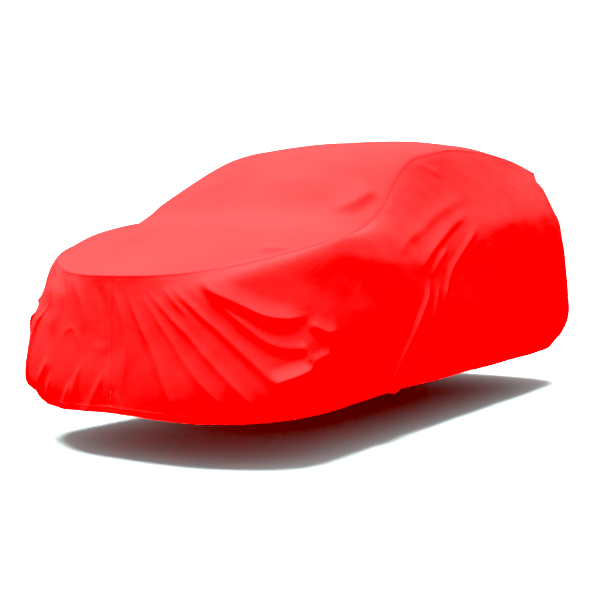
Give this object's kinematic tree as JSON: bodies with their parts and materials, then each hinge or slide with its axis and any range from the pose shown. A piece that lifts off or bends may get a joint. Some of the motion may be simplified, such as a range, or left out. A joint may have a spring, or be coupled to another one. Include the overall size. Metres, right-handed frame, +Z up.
{
  "type": "car cover",
  "caption": "Fitted cloth cover for a compact hatchback: a top panel and two side panels, hollow and open below, with drag folds round the nose and at the front doors.",
  "frame": {"origin": "the point under the crown of the roof panel where the roof of the car holds the cover up", "axes": "+Z up, -Y towards the nose of the cover, +X towards its left side; the road is 1.65 m below the origin"},
  "size_m": [1.8003, 4.1566, 1.4741],
  "materials": {
    "red_cloth": "matte, coated"
  },
  "bodies": {
    "root": {"top_panel": "red_cloth", "left_side_panel": "red_cloth", "right_side_panel": "red_cloth"}
  },
  "joints": []
}
